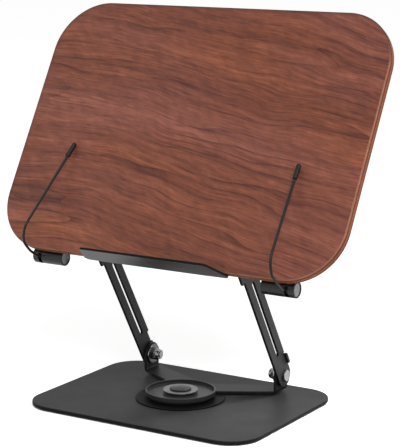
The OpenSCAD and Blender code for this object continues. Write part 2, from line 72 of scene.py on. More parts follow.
# node helpers, for materials and the world: a value that is a socket is linked, anything else is set
def addNode(material, kind, values, **settings):
    node = material.node_tree.nodes.new(kind)
    for key, value in settings.items():
        setattr(node, key, value)
    for key, value in values.items():
        socket = node.inputs[key]
        if isinstance(value, bpy.types.NodeSocket):
            material.node_tree.links.new(value, socket)
        else:
            socket.default_value = value
    return node


def addRamp(material, factor, stops):
    node = addNode(material, "ShaderNodeValToRGB", {"Fac": factor})
    elements = node.color_ramp.elements
    elements.remove(elements[1])
    elements[0].position = stops[0][0]
    elements[0].color = (*stops[0][1], 1)
    for place, colour in stops[1:]:
        elements.new(place).color = (*colour, 1)
    return node.outputs["Color"]


def mixColours(material, factor, first, second, blend="MIX"):
    node = addNode(material, "ShaderNodeMix", {0: factor, 6: first, 7: second}, data_type="RGBA",
                   blend_type=blend)
    return node.outputs[2]


# multiplies a colour by a ramp of tints
def tint(material, colour, factor, stops):
    return mixColours(material, 1.0, colour, addRamp(material, factor, stops), "MULTIPLY")


def grey(value):
    return (value, value, value)


def calc(material, operation, first, second=0.0, clamp=False):
    node = addNode(material, "ShaderNodeMath", {0: first, 1: second}, operation=operation, use_clamp=clamp)
    return node.outputs[0]


# sum of values, each times its share
def weighted(material, parts):
    total, *rest = [calc(material, "MULTIPLY", value, share) for value, share in parts]
    for part in rest:
        total = calc(material, "ADD", total, part)
    return total


def vectorCalc(material, operation, first, second):
    return addNode(material, "ShaderNodeVectorMath", {0: first, 1: second}, operation=operation).outputs


def noise(material, vector, scale, detail, roughness=0.55):
    node = addNode(material, "ShaderNodeTexNoise", {"Vector": vector, "Scale": scale, "Detail": detail,
                                                    "Roughness": roughness})
    return node.outputs["Fac"]


# noise that repeats at its own rate along each axis
def stretchedNoise(material, vector, rates, detail, roughness):
    return noise(material, vectorCalc(material, "MULTIPLY", vector, rates)[0], 1, detail, roughness)


def toRange(material, value, fromMin, fromMax, toMin, toMax):
    node = addNode(material, "ShaderNodeMapRange", {"Value": value, "From Min": fromMin, "From Max": fromMax,
                                                    "To Min": toMin, "To Max": toMax})
    return node.outputs["Result"]


def newMaterial(name):
    material = bpy.data.materials.new(name)
    material.use_nodes = True
    return material, material.node_tree.nodes["Principled BSDF"]


def link(material, fromSocket, shader, name):
    material.node_tree.links.new(fromSocket, shader.inputs[name])


def addBump(material, shader, height, strength, depth):
    bump = addNode(material, "ShaderNodeBump", {"Height": height, "Strength": strength, "Distance": depth})
    link(material, bump.outputs["Normal"], shader, "Normal")


# coordinates in the model's frame, or turned into the frame of a leaning piece
def pieceCoordinates(material, place=None):
    coords = addNode(material, "ShaderNodeTexCoord", {}).outputs["Object"]
    if place is None:
        return coords
    back = place.inverted()
    return addNode(material, "ShaderNodeMapping", {"Vector": coords, "Location": back.to_translation(),
                                                   "Rotation": back.to_euler()}).outputs["Vector"]


# how far a point lies past the straight middle of an outline with round corners: across, up and together
def pastMiddle(material, across, up, outline):
    over = []
    for part, whole in zip((across, up), outline["size"]):
        straight = (whole / 2 - outline["corner"]) * mm
        part = calc(material, "SUBTRACT", calc(material, "ABSOLUTE", part), straight)
        over.append(calc(material, "MAXIMUM", part, 0))
    both = addNode(material, "ShaderNodeCombineXYZ", {"X": over[0], "Y": over[1], "Z": 0.0}).outputs[0]
    together = addNode(material, "ShaderNodeVectorMath", {0: both}, operation="LENGTH").outputs["Value"]
    return over[0], over[1], together


# 1 for rays that show a surface, straight or in a shine or through glass, and 0 for rays that carry its light
def shownRays(material):
    rays = addNode(material, "ShaderNodeLightPath", {}).outputs
    shown = calc(material, "ADD", rays["Is Camera Ray"], rays["Is Glossy Ray"])
    return calc(material, "ADD", shown, rays["Is Transmission Ray"], clamp=True)


# studio: white round about, a pale floor that keeps the shadow, two wide lamps and a narrow one at the side
studio = {"ambient": 0.34, "floorHalf": 6, "floorAlbedo": 0.80, "floorGlow": 0.70, "glowEdge": 1}
lamps = {"key": {"place": (1.25, -1.25, 1.70), "aim": (0, 0, 0.14), "size": 1.2, "power": 34},
         "fill": {"place": (-1.5, -1.0, 0.9), "aim": (0, 0, 0.14), "size": 1.4, "power": 4},
         "side": {"place": (0.55, 0.38, 0.78), "aim": (0.135, 0, 0), "size": 0.12, "power": 62, "cone": 17.5}}

world = bpy.data.worlds.new("studio")
world.use_nodes = True
scene.world = world
background = world.node_tree.nodes["Background"]
background.inputs["Color"].default_value = (1, 1, 1, 1)
link(world, toRange(world, shownRays(world), 0, 1, studio["ambient"], 1), background, "Strength")

floorMesh = bpy.data.meshes.new("floor")
bm = bmesh.new()
bmesh.ops.create_grid(bm, x_segments=1, y_segments=1, size=studio["floorHalf"])
bm.to_mesh(floorMesh)
bm.free()
floor = bpy.data.objects.new("floor", floorMesh)
scene.collection.objects.link(floor)
floorFinish, floorShader = newMaterial("floor")
floorFinish.node_tree.nodes.remove(floorShader)
matte = addNode(floorFinish, "ShaderNodeBsdfDiffuse", {"Color": (*grey(studio["floorAlbedo"]), 1)})
# the floor under the base plate has no glow, so the gap below the plate's edge stays dark
axes = addNode(floorFinish, "ShaderNodeSeparateXYZ", {"Vector": pieceCoordinates(floorFinish)}).outputs
past = pastMiddle(floorFinish, axes["X"], axes["Y"], baseOutline)[2]
glowEdge = [(baseOutline["corner"] + sign * studio["glowEdge"]) * mm for sign in (-1, 1)]
strength = calc(floorFinish, "MULTIPLY", shownRays(floorFinish),
                toRange(floorFinish, past, *glowEdge, 0, studio["floorGlow"]))
glow = addNode(floorFinish, "ShaderNodeEmission", {"Strength": strength})
both = addNode(floorFinish, "ShaderNodeAddShader", {0: matte.outputs[0], 1: glow.outputs[0]})
# from below the floor is clear, so that the stand can be seen
below = addNode(floorFinish, "ShaderNodeNewGeometry", {}).outputs["Backfacing"]
clear = addNode(floorFinish, "ShaderNodeBsdfTransparent", {})
surface = addNode(floorFinish, "ShaderNodeMixShader", {0: below, 1: both.outputs[0], 2: clear.outputs[0]})
link(floorFinish, surface.outputs[0], floorFinish.node_tree.nodes["Material Output"], "Surface")
floorMesh.materials.append(floorFinish)

for name, look in lamps.items():
    lamp = bpy.data.lights.new(name, "SPOT" if "cone" in look else "AREA")
    lamp.energy = look["power"]
    if "cone" in look:
        lamp.shadow_soft_size = look["size"]
        lamp.spot_size = math.radians(look["cone"])
        lamp.spot_blend = 1.0
    else:
        lamp.size = look["size"]
    lampObject = bpy.data.objects.new(name, lamp)
    lampObject.location = look["place"]
    aim = Vector(look["aim"]) - lampObject.location
    lampObject.rotation_euler = aim.to_track_quat("-Z", "Y").to_euler()
    scene.collection.objects.link(lampObject)
print("book stand: studio set")

# most of a noise lies in this span
noiseSpan = (0.3, 0.7)

# walnut: colours of the face, of the edge with its layers by share of the thickness, and of the painted shade
# along the top and the left; the arris layer is partly paler wood and partly a painted highlight
walnutLook = {"dark": (0.072, 0.021, 0.016), "deep": (0.135, 0.042, 0.028), "mid": (0.206, 0.065, 0.041),
              "light": (0.300, 0.102, 0.063), "pore": (0.050, 0.017, 0.014),
              "arris": (0.335, 0.152, 0.098), "rimLine": (0.150, 0.040, 0.015),
              "rimFront": (0.30, 0.098, 0.050), "rimBack": (0.195, 0.066, 0.032),
              "paintedShade": (0.046, 0.021, 0.020),
              "face": {"dark": 0.30, "deep": 0.41, "mid": 0.50, "light": 0.62},
              "layers": {"arris": (0.02, 0.13), "rimLine": (0.19, 0.36), "rimFront": (0.42, 0.60),
                         "rimBack": (0.70, 0.97)},
              "rough": 0.42, "roughBy": (0.06, -0.04), "poreRough": 0.3, "shine": 0.22, "rimShine": 0.04,
              "relief": 0.18, "reliefDepth": 0.00015, "fibreRelief": 0.5}
# its grain: the bend, the shares of bands, streaks and flecks, the growth rings, the ripple's slant and the pores
walnutGrain = {"start": (2.7, 0, 1.1), "archFall": 0.16, "archBend": 0.30, "wanderBy": 0.034,
               "shares": (0.28, 0.38, 0.34), "rings": 70, "ringDrift": 9, "ringLate": 0.60,
               "ringSpan": (0.42, 0.66), "ringShare": (0.01, 0.19), "slant": -0.7,
               "poreSpan": (0.64, 0.71), "poreShare": 0.5}
# its patterns: the rates per metre along x, y and z, the detail and the roughness of the noise
walnutPatterns = {"wander": ((6, 8, 9), 2, 0.55), "bands": ((2.2, 12, 20), 2, 0.5),
                  "streaks": ((3.6, 30, 105), 4, 0.55), "flecks": ((46, 160, 360), 3, 0.6),
                  "ringPlaces": ((6, 12, 26), 2, 0.55), "ripple": ((60, 60, 150), 3, 0.6),
                  "drift": ((5, 9, 16), 2, 0.5), "fibres": ((14, 160, 900), 3, 0.6),
                  "pores": ((75, 300, 1500), 1, 0.4), "rim": ((130, 700, 130), 3, 0.6)}
# its tints, at a low and at a high place of a pattern
walnutTints = {"ripple": [(0.32, grey(0.88)), (0.68, grey(1.12))],
               "drift": [(0.36, (1.01, 1.04, 1.16)), (0.62, (1.07, 1.03, 0.88))],
               "fibres": [(0.30, (0.70, 0.67, 0.66)), (0.62, (1.14, 1.13, 1.12))],
               "rim": [(0.3, (0.80, 0.78, 0.76)), (0.7, (1.12, 1.10, 1.08))]}
# its painted shade near the outline, by the distance in from it in mm, and painted shade on the edge that is
# turned up; the edge's layers start and end at a depth in mm, behind the front face and before the back
walnutPaintedShade = {"from": 4.6, "to": 0.6, "share": 0.55, "top": 0.9, "left": 0.7, "least": 1,
               "turned": (0.04, 0.36), "turnedShare": 0.90, "turnedDepth": (0.12, 0.35),
               "behindFront": (0.02, 0.30), "beforeBack": (0.10, 0.45)}


def makeWalnut():
    look, grain, edge = walnutLook, walnutGrain, walnutPaintedShade
    height, thickness = panelOutline["size"][1:]
    material, shader = newMaterial("walnut")
    local = pieceCoordinates(material, panelPlace)

    def pattern(vector, name):
        return stretchedNoise(material, vector, *walnutPatterns[name])

    # the grain runs along x, arches down to the right and wanders slowly
    axes = addNode(material, "ShaderNodeSeparateXYZ", {"Vector": local}).outputs
    slope = calc(material, "ADD", calc(material, "MULTIPLY", axes["X"], grain["archBend"]), grain["archFall"])
    arch = calc(material, "MULTIPLY", axes["X"], slope)
    shifted = vectorCalc(material, "ADD", local, grain["start"])[0]
    wander = calc(material, "SUBTRACT", pattern(shifted, "wander"), 0.5)
    up = calc(material, "ADD", calc(material, "ADD", axes["Z"], arch),
              calc(material, "MULTIPLY", wander, grain["wanderBy"]))
    bent = addNode(material, "ShaderNodeCombineXYZ", {"X": axes["X"], "Y": axes["Y"], "Z": up}).outputs[0]
    bent = vectorCalc(material, "ADD", bent, grain["start"])[0]
    bands = pattern(bent, "bands")
    streaks = pattern(bent, "streaks")
    flecks = pattern(bent, "flecks")
    figure = weighted(material, zip((bands, streaks, flecks), grain["shares"]))
    # growth rings: each darkens to a sharp late line, strong in some places and faint in others
    phase = weighted(material, ((up, grain["rings"]), (bands, grain["ringDrift"])))
    late = toRange(material, calc(material, "FRACT", phase), grain["ringLate"], 1.0, 0, 1)
    strong = toRange(material, pattern(bent, "ringPlaces"), *grain["ringSpan"], *grain["ringShare"])
    line = calc(material, "MULTIPLY", calc(material, "MULTIPLY", late, late), strong)
    figure = calc(material, "SUBTRACT", figure, line)
    face = addRamp(material, figure, [(place, look[name]) for name, place in look["face"].items()])
    # slanting ripple, slow drift between a redder and a yellower brown, fine fibres and open pores
    slanted = addNode(material, "ShaderNodeVectorRotate", {"Vector": bent, "Angle": grain["slant"]},
                      rotation_type="Y_AXIS").outputs["Vector"]
    face = tint(material, face, pattern(slanted, "ripple"), walnutTints["ripple"])
    face = tint(material, face, pattern(bent, "drift"), walnutTints["drift"])
    fibres = pattern(bent, "fibres")
    face = tint(material, face, fibres, walnutTints["fibres"])
    poreMask = toRange(material, pattern(bent, "pores"), *grain["poreSpan"], 0, grain["poreShare"])
    face = mixColours(material, poreMask, face, (*look["pore"], 1))
    # soft painted shade in from the outline, along the top and the left
    middle = calc(material, "SUBTRACT", axes["Z"], height / 2 * mm)
    acrossPast, upPast, past = pastMiddle(material, axes["X"], middle, panelOutline)
    upward = calc(material, "MULTIPLY", upPast, calc(material, "SIGN", middle))
    rightward = calc(material, "MULTIPLY", acrossPast, calc(material, "SIGN", axes["X"]))
    facing = weighted(material, ((upward, edge["top"]), (rightward, -edge["left"])))
    facing = calc(material, "DIVIDE", facing, calc(material, "MAXIMUM", past, edge["least"] * mm), clamp=True)
    edgePaintedShade = toRange(material, past, (panelOutline["corner"] - edge["from"]) * mm,
                       (panelOutline["corner"] - edge["to"]) * mm, 0, edge["share"])
    face = mixColours(material, calc(material, "MULTIPLY", edgePaintedShade, facing), face, (*look["paintedShade"], 1))
    # layers along the edge, by depth behind the front face; the pale arris layer is partly paler wood and partly
    # a painted highlight
    depth = calc(material, "DIVIDE", axes["Y"], thickness * mm)
    layers = addRamp(material, depth, [(place, look[name]) for name, places in look["layers"].items()
                                       for place in places])
    layers = tint(material, layers, pattern(local, "rim"), walnutTints["rim"])
    # painted shade: the edge turned up is dark along its front
    normal = addNode(material, "ShaderNodeTexCoord", {}).outputs["Normal"]
    rise = tuple(panelPlace.to_3x3() @ Vector((0, 0, 1)))
    turned = vectorCalc(material, "DOT_PRODUCT", normal, rise)["Value"]
    shade = calc(material, "MULTIPLY", toRange(material, turned, *edge["turned"], 0, edge["turnedShare"]),
                 toRange(material, depth, *edge["turnedDepth"], 1, 0))
    offFront = toRange(material, axes["Y"], *(behind * mm for behind in edge["behindFront"]), 0, 1)
    offBack = toRange(material, axes["Y"], *((thickness - before) * mm for before in edge["beforeBack"]), 0, 1)
    onRim = calc(material, "MULTIPLY", offFront, offBack)
    skin = mixColours(material, shade, mixColours(material, onRim, face, layers), (*look["paintedShade"], 1))
    link(material, skin, shader, "Base Color")
    rough = toRange(material, fibres, *noiseSpan, *(look["rough"] + by for by in look["roughBy"]))
    rough = calc(material, "ADD", rough, calc(material, "MULTIPLY", poreMask, look["poreRough"]))
    link(material, rough, shader, "Roughness")
    relief = calc(material, "SUBTRACT", calc(material, "MULTIPLY", fibres, look["fibreRelief"]), poreMask)
    addBump(material, shader, relief, look["relief"], look["reliefDepth"])
    shine = toRange(material, onRim, 0, 1, look["shine"], look["rimShine"])
    link(material, shine, shader, "Specular IOR Level")
    return material


# paint on steel: a fine grain in the gloss, a soft orange peel and a slow mottle of the colour
coatGrain = {"mottle": 38, "mottleSpan": (0.32, 0.68), "mottleBy": 0.12, "fleckSpan": (0.35, 0.65),
             "fleckBy": 0.10, "glossBy": 0.05, "peel": 0.3, "peelBy": 1.5, "depth": 0.00012}


def makeCoat(look):
    material, shader = newMaterial(look["name"])
    c = coatGrain
    coords = pieceCoordinates(material)
    mottle = noise(material, coords, c["mottle"], 3)
    grain = noise(material, coords, look["grain"], 2, 0.6)
    peel = noise(material, coords, look["grain"] * c["peel"], 2, 0.5)
    dark = tuple(part * (1 - c["mottleBy"]) for part in look["colour"])
    light = tuple(part * (1 + c["mottleBy"]) for part in look["colour"])
    shade = addRamp(material, mottle, list(zip(c["mottleSpan"], (dark, light))))
    fleck = list(zip(c["fleckSpan"], (grey(1 - c["fleckBy"]), grey(1 + c["fleckBy"]))))
    link(material, tint(material, shade, grain, fleck), shader, "Base Color")
    rough = toRange(material, grain, *noiseSpan, look["rough"] - c["glossBy"], look["rough"] + c["glossBy"])
    link(material, rough, shader, "Roughness")
    relief = calc(material, "ADD", grain, calc(material, "MULTIPLY", peel, c["peelBy"]))
    addBump(material, shader, relief, look["bump"], c["depth"])
    shader.inputs["Specular IOR Level"].default_value = look["specular"]
    return material


# bare or plated metal: fine scratches along one axis and a cloudy shine
metalGrain = {"cloud": 160, "cloudSpan": (0.30, 0.66), "cloudRough": (0.04, -0.03), "dark": 0.82,
              "scratch": 0.12, "scratchRough": (-0.05, 0.06), "depth": 0.00005}


def makeMetal(look):
    material, shader = newMaterial(look["name"])
    c = metalGrain
    coords = pieceCoordinates(material)
    cloud = noise(material, coords, c["cloud"], 3)
    scratch = stretchedNoise(material, coords, look["brush"], 3, 0.65)
    dark = tuple(part * c["dark"] for part in look["colour"])
    shade = addRamp(material, cloud, list(zip(c["cloudSpan"], (dark, look["colour"]))))
    link(material, shade, shader, "Base Color")
    rough = toRange(material, scratch, *noiseSpan, *(look["rough"] + by for by in c["scratchRough"]))
    rough = calc(material, "ADD", rough, toRange(material, cloud, *noiseSpan, *c["cloudRough"]))
    link(material, rough, shader, "Roughness")
    addBump(material, shader, scratch, c["scratch"], c["depth"])
    shader.inputs["Metallic"].default_value = 1.0
    return material


# rubber and nylon: dull, with a dusty mottle and a fine skin
rubberGrain = {"dust": 240, "dustSpan": (0.38, 0.75), "light": 1.6, "glossBy": 0.06, "skin": 2600,
               "skinBy": 0.25, "depth": 0.00008}


def makeRubber(look):
    material, shader = newMaterial(look["name"])
    c = rubberGrain
    coords = pieceCoordinates(material)
    dust = noise(material, coords, c["dust"], 4, 0.6)
    skin = noise(material, coords, c["skin"], 2, 0.6)
    light = tuple(part * c["light"] for part in look["colour"])
    shade = addRamp(material, dust, list(zip(c["dustSpan"], (look["colour"], light))))
    link(material, shade, shader, "Base Color")
    rough = toRange(material, dust, *noiseSpan, look["rough"] - c["glossBy"], look["rough"] + c["glossBy"])
    link(material, rough, shader, "Roughness")
    addBump(material, shader, skin, c["skinBy"], c["depth"])
    shader.inputs["Specular IOR Level"].default_value = look["specular"]
    return material


walnut = makeWalnut()
baseCoat = makeCoat({"name": "base coat", "colour": (0.040, 0.040, 0.041), "rough": 0.40, "grain": 1500,
                     "bump": 0.25, "specular": 0.026})
# painted shade: a dark coat for faces turned away from the light, on the base plate's sides, the arms' edges and
# the ledge's front edge
paintedShadeCoat = makeCoat({"name": "painted shade coat", "colour": (0.010, 0.010, 0.010), "rough": 0.55, "grain": 1500,
                     "bump": 0.22, "specular": 0.04})
discCoat = makeCoat({"name": "disc coat", "colour": (0.004, 0.004, 0.004), "rough": 0.50, "grain": 1600,
                     "bump": 0.15, "specular": 0.06})
bracketCoat = makeCoat({"name": "bracket coat", "colour": (0.012, 0.012, 0.013), "rough": 0.46, "grain": 1500,
                        "bump": 0.22, "specular": 0.15})
cupCoat = makeCoat({"name": "cup coat", "colour": (0.024, 0.024, 0.025), "rough": 0.36, "grain": 1700,
                    "bump": 0.16, "specular": 0.18})
capCoat = makeCoat({"name": "cap coat", "colour": (0.024, 0.024, 0.025), "rough": 0.36, "grain": 1700,
                    "bump": 0.14, "specular": 0.18})
ledgeCoat = makeCoat({"name": "ledge coat", "colour": (0.0150, 0.0126, 0.0160), "rough": 0.31, "grain": 1500,
                      "bump": 0.07, "specular": 0.11})
armCoat = makeCoat({"name": "arm coat", "colour": (0.035, 0.035, 0.0362), "rough": 0.50, "grain": 1500,
                    "bump": 0.20, "specular": 0.14})
barrelCoat = makeCoat({"name": "barrel coat", "colour": (0.016, 0.016, 0.0168), "rough": 0.28, "grain": 1900,
                       "bump": 0.12, "specular": 0.28})
wireCoat = makeCoat({"name": "wire coat", "colour": (0.012, 0.0115, 0.0115), "rough": 0.34, "grain": 2200,
                     "bump": 0.10, "specular": 0.20})
screwBlack = makeCoat({"name": "screw black", "colour": (0.014, 0.014, 0.015), "rough": 0.33, "grain": 2200,
                       "bump": 0.10, "specular": 0.30})
zinc = makeMetal({"name": "zinc", "colour": (0.30, 0.30, 0.31), "rough": 0.24, "brush": (2400, 260, 2400)})
# painted reflection: darker steel for the washers' flat faces, in place of the dark parts they would mirror
washerPaintedReflection = makeMetal({"name": "washer painted reflection", "colour": (0.15, 0.15, 0.155), "rough": 0.30,
                         "brush": (1800, 500, 1800)})
endPlate = makeMetal({"name": "end plate", "colour": (0.28, 0.270, 0.265), "rough": 0.52,
                      "brush": (300, 2600, 900)})
ringSteel = makeMetal({"name": "ring steel", "colour": (0.17, 0.165, 0.16), "rough": 0.36,
                       "brush": (700, 700, 3000)})
springSteel = makeMetal({"name": "spring steel", "colour": (0.40, 0.40, 0.42), "rough": 0.32,
                         "brush": (900, 900, 900)})
padRubber = makeRubber({"name": "pad rubber", "colour": (0.016, 0.016, 0.016), "rough": 0.80, "specular": 0.25})
sleeveRubber = makeRubber({"name": "sleeve rubber", "colour": (0.005, 0.005, 0.0055), "rough": 0.45,
                           "specular": 0.22})
nylon = makeRubber({"name": "nylon", "colour": (0.014, 0.014, 0.015), "rough": 0.50, "specular": 0.40})
print("book stand: finishes made,", len(bpy.data.materials), "materials")

# distances in m at which points are welded, and angles in degrees for whole flat faces and sharp shading
meshCare = {"weld": 1e-6, "solidWeld": 1.5e-5, "flat": 0.4, "sharp": 50}


# rounds the edges that are sharper than an angle; widths are in mm
def softEdges(bm, width, segments=3, sharp=30):
    edges = [edge for edge in bm.edges if edge.is_manifold and edge.calc_face_angle() > math.radians(sharp)]
    bmesh.ops.bevel(bm, geom=edges, offset=width * mm, offset_type="OFFSET", segments=segments, profile=0.5,
                    affect="EDGES", material=-1, clamp_overlap=False)


# turns a profile of (radius, height) in mm about the z axis
def lathe(profile, steps, closed=False):
    bm = bmesh.new()
    points = [bm.verts.new((r * mm, 0, z * mm)) for r, z in profile]
    pairs = list(zip(points, points[1:])) + ([(points[-1], points[0])] if closed else [])
    edges = [bm.edges.new(pair) for pair in pairs]
    bmesh.ops.spin(bm, geom=points + edges, cent=(0, 0, 0), axis=(0, 0, 1), angle=math.tau, steps=steps,
                   use_merge=True)
    bmesh.ops.remove_doubles(bm, verts=bm.verts[:], dist=meshCare["weld"])
    bmesh.ops.recalc_face_normals(bm, faces=bm.faces[:])
    return bm


# profile of a flat ring around a hole
def ringProfile(c):
    return [(c["hole"], c["low"]), (c["radius"], c["low"]), (c["radius"], c["high"]), (c["hole"], c["high"])]


# flat board about the origin with round corners and a soft rim, z through its thickness
def board(c):
    bm = bmesh.new()
    bmesh.ops.create_cube(bm, size=1)
    bmesh.ops.scale(bm, vec=[part * mm for part in c["size"]], verts=bm.verts[:])
    upright = [edge for edge in bm.edges if abs(edge.verts[0].co.z - edge.verts[1].co.z) > meshCare["weld"]]
    bmesh.ops.bevel(bm, geom=upright, offset=c["corner"] * mm, offset_type="OFFSET",
                    segments=c["cornerSteps"], profile=0.5, affect="EDGES", material=-1, clamp_overlap=False)
    softEdges(bm, c["rim"], c["rimSteps"], c["sharp"])
    return bm


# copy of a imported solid, merged and with its flat faces made whole
def copySolid(node):
    bm = bmesh.new()
    bm.from_mesh(frame["nodes"][node].data)
    bmesh.ops.remove_doubles(bm, verts=bm.verts[:], dist=meshCare["solidWeld"])
    bmesh.ops.dissolve_limit(bm, angle_limit=math.radians(meshCare["flat"]), verts=bm.verts[:],
                             edges=bm.edges[:], use_dissolve_boundaries=False)
    return bm


def softSolid(node, edge, segments=3):
    bm = copySolid(node)
    softEdges(bm, edge, segments)
    return bm


def camelName(node):
    first, *rest = node.split("_")
    return first + "".join(word.capitalize() for word in rest)


def finishPiece(name, bm, finish, body, slotName, *nodes):
    mesh = bpy.data.meshes.new(name)
    bm.to_mesh(mesh)
    bm.free()
    mesh.materials.append(finish)
    mesh.shade_smooth()
    mesh.set_sharp_from_angle(angle=math.radians(meshCare["sharp"]))
    piece = bpy.data.objects.new(name, mesh)
    scene.collection.objects.link(piece)
    even = piece.modifiers.new("even shading", "WEIGHTED_NORMAL")
    even.keep_sharp = True
    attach(piece, body)
    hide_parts(*nodes)
    return piece


# gives the faces that pass a test a second finish
def faceFinish(piece, finish, test):
    piece.data.materials.append(finish)
    for face in piece.data.polygons:
        if test(face):
            face.material_index = 1


# base plate with painted shade on its side faces, and its pads
basePlate = {**baseOutline, "cornerSteps": 24, "rim": 0.7, "rimSteps": 3, "sharp": 60, "bottom": 1.2, "cut": 0.45}
bm = board(basePlate)
bmesh.ops.translate(bm, vec=(0, 0, (basePlate["bottom"] + basePlate["size"][2] / 2) * mm), verts=bm.verts[:])
piece = finishPiece("basePlate", bm, baseCoat, "base", "powder_coat", "base_plate")
faceFinish(piece, paintedShadeCoat, lambda face: face.normal.z < basePlate["cut"])

basePads = {"radius": 14, "height": 1.2, "steps": 48, "edge": 0.35,
            "places": [(-84, -56), (84, -56), (84, 56), (-84, 56)]}
c = basePads
bm = lathe([(0, 0), (c["radius"], 0), (c["radius"], c["height"]), (0, c["height"])], c["steps"])
softEdges(bm, c["edge"])
pads = [bm.verts[:] + bm.edges[:] + bm.faces[:]]
for _ in c["places"][1:]:
    pads.append(bmesh.ops.duplicate(bm, geom=pads[0])["geom"])
for pad, (x, y) in zip(pads, c["places"]):
    verts = [part for part in pad if isinstance(part, bmesh.types.BMVert)]
    bmesh.ops.translate(bm, vec=(x * mm, y * mm, 0), verts=verts)
finishPiece("basePads", bm, padRubber, "base", "rubber", "base_pads")

# swivel: disc, cup, thrust ring, cap, stud and bracket
bearingDisc = {"hole": 5.05, "radius": 39.5, "low": 4.2, "high": 5.5, "steps": 112, "edge": 0.4}
bm = lathe(ringProfile(bearingDisc), bearingDisc["steps"], closed=True)
softEdges(bm, bearingDisc["edge"])
finishPiece("bearingDisc", bm, discCoat, "base", "powder_coat", "bearing_disc")

swivelCup = {"hole": 5.05, "radius": 31, "inner": 29.5, "low": 8.1, "floor": 9.3, "rim": 12.2, "boss": 13.5,
             "bossTop": 11.1, "steps": 112, "edge": 0.55, "edgeSteps": 4}
c = swivelCup
bm = lathe([(c["hole"], c["low"]), (c["radius"], c["low"]), (c["radius"], c["rim"]), (c["inner"], c["rim"]),
            (c["inner"], c["floor"]), (c["boss"], c["floor"]), (c["boss"], c["bossTop"]),
            (c["hole"], c["bossTop"])], c["steps"], closed=True)
softEdges(bm, c["edge"], c["edgeSteps"])
finishPiece("swivelCup", bm, cupCoat, "turntable", "cup_coat", "swivel_cup")

thrustRing = {"hole": 5.05, "radius": 15.5, "low": 11.2, "high": 12.3, "steps": 96, "edge": 0.3}
bm = lathe(ringProfile(thrustRing), thrustRing["steps"], closed=True)
softEdges(bm, thrustRing["edge"])
finishPiece("thrustRing", bm, ringSteel, "base", "zinc", "thrust_ring")

swivelCap = {"radius": 9.5, "low": 12.3, "hollow": 0.1, "shoulder": 13.45, "high": 14.6, "rings": 7,
             "steps": 80, "edge": 0.35}
c = swivelCap
dome = []
for step in range(c["rings"] + 1):
    r = c["radius"] * (1 - step / c["rings"])
    dome.append((r, c["shoulder"] + (c["high"] - c["shoulder"]) * (1 - (r / c["radius"]) ** 2)))
bm = lathe([(0, c["low"] + c["hollow"]), (c["radius"], c["low"])] + dome, c["steps"])
softEdges(bm, c["edge"])
finishPiece("swivelCap", bm, capCoat, "base", "cap_coat", "swivel_cap")

swivelStud = {"edge": 0.2}
bm = softSolid("swivel_stud", swivelStud["edge"])
finishPiece("swivelStud", bm, zinc, "base", "zinc", "swivel_stud")

swivelBracket = {"edge": 0.4}
bm = softSolid("swivel_bracket", swivelBracket["edge"])
finishPiece("swivelBracket", bm, bracketCoat, "turntable", "bracket_coat", "swivel_bracket")
print("book stand: base and swivel made")

# arms with painted shade on their edge faces, their slots drawn in, and hinge bolts
foldingArms = {"edge": 0.35, "slotHalf": 2.6, "slotFrom": 23.5, "slotTo": 112.5, "slotShare": 0.72, "cut": 0.5}
c = foldingArms
toArm = armPlace.inverted()
for side in ("left", "right"):
    bm = copySolid("arm_" + side)
    for vert in bm.verts:
        at = toArm @ vert.co
        if abs(at.y) < c["slotHalf"] * mm and c["slotFrom"] * mm < at.z < c["slotTo"] * mm:
            vert.co = armPlace @ Vector((at.x, at.y * c["slotShare"], at.z))
    softEdges(bm, c["edge"])
    piece = finishPiece("arm" + side.capitalize(), bm, armCoat, "arms", "arm_coat", "arm_" + side)
    faceFinish(piece, paintedShadeCoat, lambda face: abs(face.normal.x) < foldingArms["cut"])

hingeHardware = {"bolts": (zinc, "zinc", 0.22), "washers": (zinc, "zinc", 0.25), "nuts": (zinc, "zinc", 0.2),
                 "friction_washers": (nylon, "nylon", 0.12)}
washerFlat = 0.9
for level, body in (("lower", "arms"), ("upper", "upper_hinge")):
    for kind, (finish, slotName, edge) in hingeHardware.items():
        node = level + "_" + kind
        piece = finishPiece(camelName(node), softSolid(node, edge), finish, body, slotName, node)
        # the washers' flat faces get the painted reflection, darker than their zinc rim
        if kind == "washers":
            faceFinish(piece, washerPaintedReflection, lambda face: abs(face.normal.x) > washerFlat)
print("book stand: arms and hinges made")

# reading panel, its bracket and ledge
readingPanel = {**panelOutline, "cornerSteps": 32, "rim": 1.4, "rimSteps": 4, "sharp": 60}
bm = board(readingPanel)
height, thickness = readingPanel["size"][1:]
upright = Matrix.Translation((0, thickness / 2 * mm, height / 2 * mm)) @ Matrix.Rotation(math.pi / 2, 4, "X")
bmesh.ops.transform(bm, matrix=panelPlace @ upright, verts=bm.verts[:])
finishPiece("readingPanel", bm, walnut, "reading_panel", "walnut", "panel")

panelBracket = {"edge": 0.4}
bm = softSolid("panel_bracket", panelBracket["edge"])
finishPiece("panelBracket", bm, bracketCoat, "reading_panel", "bracket_coat", "panel_bracket")

bookLedge = {"edge": 0.35, "cut": -0.5}
bm = softSolid("ledge", bookLedge["edge"])
piece = finishPiece("bookLedge", bm, ledgeCoat, "reading_panel", "bracket_coat", "ledge")
# painted shade on the ledge's faces along its front edge
panelBack = (panelPlace.to_3x3() @ Vector((0, 1, 0))).normalized()
faceFinish(piece, paintedShadeCoat, lambda face: face.normal.dot(panelBack) < bookLedge["cut"])

woodScrews = {"edge": 0.12, "edgeSteps": 2,
              "sets": ("panel_bracket_screws", "ledge_screws", "clip_housing_screws")}
for node in woodScrews["sets"]:
    bm = softSolid(node, woodScrews["edge"], woodScrews["edgeSteps"])
    finishPiece(camelName(node), bm, screwBlack, "reading_panel", "screw_black", node)
print("book stand: panel made")

